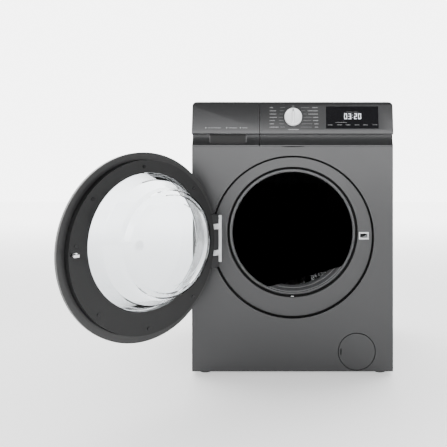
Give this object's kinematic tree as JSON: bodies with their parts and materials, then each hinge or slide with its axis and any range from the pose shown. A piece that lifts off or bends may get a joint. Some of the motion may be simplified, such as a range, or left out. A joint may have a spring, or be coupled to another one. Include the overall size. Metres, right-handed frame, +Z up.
{
  "type": "front load washing machine",
  "caption": "Freestanding front load washing machine in dark titanium grey with its porthole door open, dispenser drawer, programme knob and display.",
  "frame": {"origin": "on the floor under the centre of the cabinet's footprint", "axes": "+X to the right of someone facing the machine, +Y to the rear, +Z up"},
  "size_m": [0.8353, 1.0026, 0.816],
  "materials": {
    "titanium_paint": "satin, dark titanium",
    "titanium_plastic": "satin, dark titanium",
    "worktop_grey": "matt dark grey laminate",
    "black_plastic": "matt black",
    "black_glass": "gloss black",
    "circuit_board": "green lacquer",
    "pale_plastic": "satin",
    "lock_grey": "satin",
    "galvanised_steel": "galvanised",
    "bright_metal": "bright",
    "spring_steel": "ground",
    "seal_rubber": "matt grey",
    "black_rubber": "matt",
    "foot_rubber": "matt",
    "door_ring_dark": "satin dark grey",
    "clear_window": "clear",
    "bowl_glass": "clear",
    "knob_silver": "satin",
    "tub_plastic": "moulded",
    "concrete": "cast",
    "cast_alloy": "as cast",
    "stainless": "polished",
    "motor_iron": "painted",
    "lifter_grey": "satin"
  },
  "bodies": {
    "cabinet": {"base_tray": "black_plastic", "front_panel": "titanium_paint", "left_side_panel": "titanium_paint", "right_side_panel": "titanium_paint", "rear_panel": "galvanised_steel", "worktop": "worktop_grey", "top_rails": "galvanised_steel", "control_fascia": "titanium_plastic", "display_window": "black_glass", "control_board": "circuit_board", "dispenser_housing": "pale_plastic", "hinge_bracket": "bright_metal", "cabinet_screws": "bright_metal", "door_lock": "lock_grey", "door_seal": "seal_rubber", "suspension_springs": "spring_steel", "damper_cylinders": "black_plastic", "filter_frame": "black_plastic", "drain_pump": "pale_plastic", "sump_hose": "black_rubber", "water_hoses": "black_rubber", "drain_outlet": "pale_plastic", "inlet_valve": "pale_plastic", "cable_gland": "black_plastic", "transit_caps": "pale_plastic"},
    "door": {"door_outer_ring": "door_ring_dark", "door_window": "clear_window", "door_inner_frame": "door_ring_dark", "door_glass_bowl": "bowl_glass", "door_hinge_block": "black_plastic", "hinge_pin": "spring_steel", "door_screws": "spring_steel"},
    "latch": {"latch_hook": "bright_metal"},
    "drawer": {"drawer_front": "titanium_plastic", "drawer_tray": "pale_plastic"},
    "knob": {"programme_knob": "knob_silver"},
    "tub": {"tub_front_half": "tub_plastic", "tub_rear_half": "tub_plastic", "counterweights": "concrete", "bearing_housing": "cast_alloy", "drum_bearings": "spring_steel", "heating_element": "stainless", "drive_motor": "motor_iron", "damper_rods": "spring_steel", "drive_belt": "black_rubber"},
    "drum": {"drum_shell": "stainless", "drum_mouth_ring": "stainless", "drum_back": "stainless", "hub_cap": "stainless", "drum_lifters": "lifter_grey", "drum_spider": "cast_alloy", "drum_shaft": "spring_steel", "drum_pulley": "cast_alloy"},
    "rotor": {"motor_rotor": "spring_steel"},
    "flap": {"filter_flap": "titanium_plastic"},
    "filter": {"drain_filter": "pale_plastic"},
    "foot_fl": {"foot_front_left": "foot_rubber"},
    "foot_fr": {"foot_front_right": "foot_rubber"},
    "foot_rl": {"foot_rear_left": "foot_rubber"},
    "foot_rr": {"foot_rear_right": "foot_rubber"}
  },
  "joints": [
    {"name": "door_swing", "type": "hinge", "parent": "cabinet", "child": "door", "pos_m": [-0.239, -0.305, 0.402], "axis": [0, 0, 1], "range_deg": [0, 128]},
    {"name": "latch_turn", "type": "hinge", "parent": "door", "child": "latch", "pos_m": [-0.49344, -0.66965, 0.413], "axis": [0, 0, 1], "range_deg": [0, 8], "stiffness_Nm_per_rad": 0.5},
    {"name": "drawer_slide", "type": "slide", "parent": "cabinet", "child": "drawer", "axis": [0, -1, 0], "range_m": [0, 0.2]},
    {"name": "knob_turn", "type": "hinge", "parent": "cabinet", "child": "knob", "pos_m": [0.002, -0.27848, 0.767], "axis": [0, -0.9877, 0.1564], "continuous": true},
    {"name": "tub_float", "type": "slide", "parent": "cabinet", "child": "tub", "axis": [0, 0, 1], "range_m": [-0.012, 0.012], "stiffness_N_per_m": 20000, "springref_m": 0.01714, "deforming": ["suspension_springs", "door_seal", "sump_hose"]},
    {"name": "drum_spin", "type": "hinge", "parent": "tub", "child": "drum", "pos_m": [0, 0, 0.424], "axis": [0, 1, 0], "continuous": true},
    {"name": "motor_spin", "type": "hinge", "parent": "tub", "child": "rotor", "pos_m": [0.105, 0.2, 0.112], "axis": [0, 1, 0], "continuous": true},
    {"name": "flap_pull", "type": "slide", "parent": "cabinet", "child": "flap", "axis": [0, -1, 0], "range_m": [0, 0.04]},
    {"name": "filter_turn", "type": "hinge", "parent": "cabinet", "child": "filter", "pos_m": [0.1915, -0.25, 0.0685], "axis": [0, -1, 0], "range_deg": [0, 90]},
    {"name": "foot_fl_level", "type": "slide", "parent": "cabinet", "child": "foot_fl", "axis": [0, 0, -1], "range_m": [0, 0.015]},
    {"name": "foot_fr_level", "type": "slide", "parent": "cabinet", "child": "foot_fr", "axis": [0, 0, -1], "range_m": [0, 0.015]},
    {"name": "foot_rl_level", "type": "slide", "parent": "cabinet", "child": "foot_rl", "axis": [0, 0, -1], "range_m": [0, 0.015]},
    {"name": "foot_rr_level", "type": "slide", "parent": "cabinet", "child": "foot_rr", "axis": [0, 0, -1], "range_m": [0, 0.015]}
  ],
  "couplings": [
    {"joint": "motor_spin", "follows": "drum_spin", "ratio": 16.667}
  ]
}
